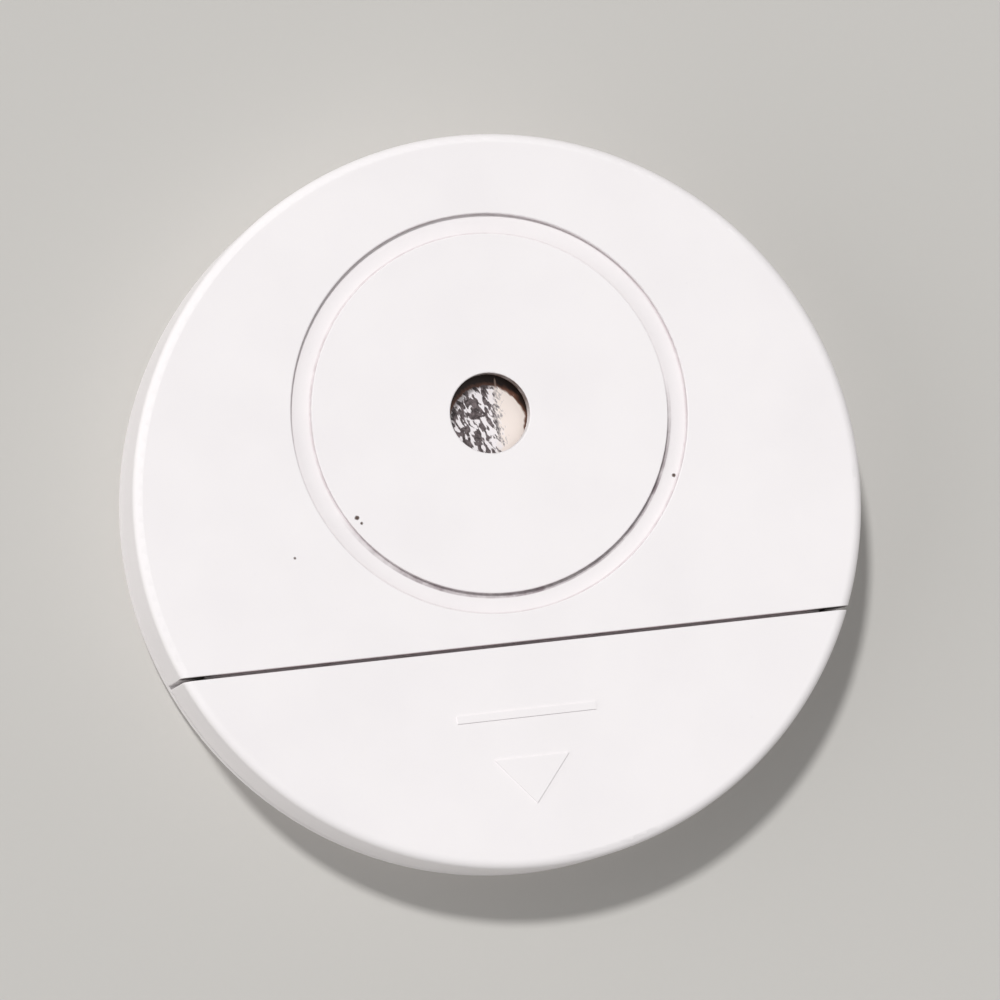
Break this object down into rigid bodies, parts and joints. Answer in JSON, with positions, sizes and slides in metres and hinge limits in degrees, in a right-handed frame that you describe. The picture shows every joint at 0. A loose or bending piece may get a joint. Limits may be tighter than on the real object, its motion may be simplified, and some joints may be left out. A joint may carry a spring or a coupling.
{
  "type": "glass break sensor",
  "caption": "Round white stick-on glass break sensor: disc case with a sound hole in a ring groove, slide-off battery door with an arrow, on/off switch in the side and a foam pad.",
  "frame": {"origin": "middle of the foam pad's glue face, the lowest face of the part", "axes": "+Z out of the glass through the front face with the sound hole; -Y the way the battery door slides off; +X towards the on/off switch, along the door's seam"},
  "size_m": [0.063, 0.063, 0.0111],
  "materials": {
    "white_plastic": "satin, finely textured moulded ABS",
    "knob_plastic": "matte black moulded plastic",
    "foam": "closed-cell foam tape",
    "screw_steel": "zinc-plated steel",
    "sounder_metal": "rolled nickel-silver, scratched",
    "sounder_ceramic": "fired silver on ceramic",
    "tape": "double-sided tape",
    "cell_steel": "nickel-plated steel",
    "contact_steel": "nickel-plated spring steel",
    "board_green": "solder mask on glass fibre board",
    "black_epoxy": "black potting epoxy",
    "ferrite": "sintered ferrite",
    "copper_wire": "enamelled copper wire",
    "chip_black": "moulded chip epoxy",
    "chip_tan": "ceramic chip with tinned ends",
    "can_sleeve": "shrink sleeve on an aluminium can",
    "sensor_can": "plated metal can",
    "wire_red": "vinyl insulation",
    "wire_black": "vinyl insulation",
    "solder": "tin solder",
    "switch_steel": "tinned steel"
  },
  "bodies": {
    "housing": {"front_cover": "white_plastic", "rear_housing": "white_plastic", "adhesive_pad": "foam", "housing_screws": "screw_steel", "board_screws": "screw_steel", "sounder_disc": "sounder_metal", "sounder_ceramic": "sounder_ceramic", "sounder_tape_ring": "tape", "cell_1": "cell_steel", "cell_2": "cell_steel", "cell_3": "cell_steel", "contact_minus": "contact_steel", "contact_plus": "contact_steel", "cell_link": "contact_steel", "circuit_board": "board_green", "chip_blob": "black_epoxy", "boost_coil_core": "ferrite", "boost_coil_winding": "copper_wire", "transistor": "chip_black", "resistor_1": "chip_black", "resistor_2": "chip_black", "resistor_3": "chip_black", "ceramic_capacitor_1": "chip_tan", "ceramic_capacitor_2": "chip_tan", "electrolytic_capacitor": "can_sleeve", "shock_sensor": "sensor_can", "sounder_wire_red": "wire_red", "sounder_wire_black": "wire_black", "solder_red_board": "solder", "solder_red_sounder": "solder", "solder_black_board": "solder", "solder_black_sounder": "solder", "switch_case": "switch_steel", "switch_pin_1": "switch_steel", "switch_pin_2": "switch_steel", "switch_pin_3": "switch_steel"},
    "battery_door": {"battery_door": "white_plastic", "door_link": "contact_steel"},
    "switch_knob": {"switch_knob": "knob_plastic"}
  },
  "joints": [
    {"name": "door_slide", "type": "slide", "parent": "housing", "child": "battery_door", "axis": [0, -1, 0], "range_m": [0, 0.0225]},
    {"name": "switch_slide", "type": "slide", "parent": "housing", "child": "switch_knob", "axis": [0.1476, 0.989, 0], "range_m": [0, 0.002]}
  ]
}
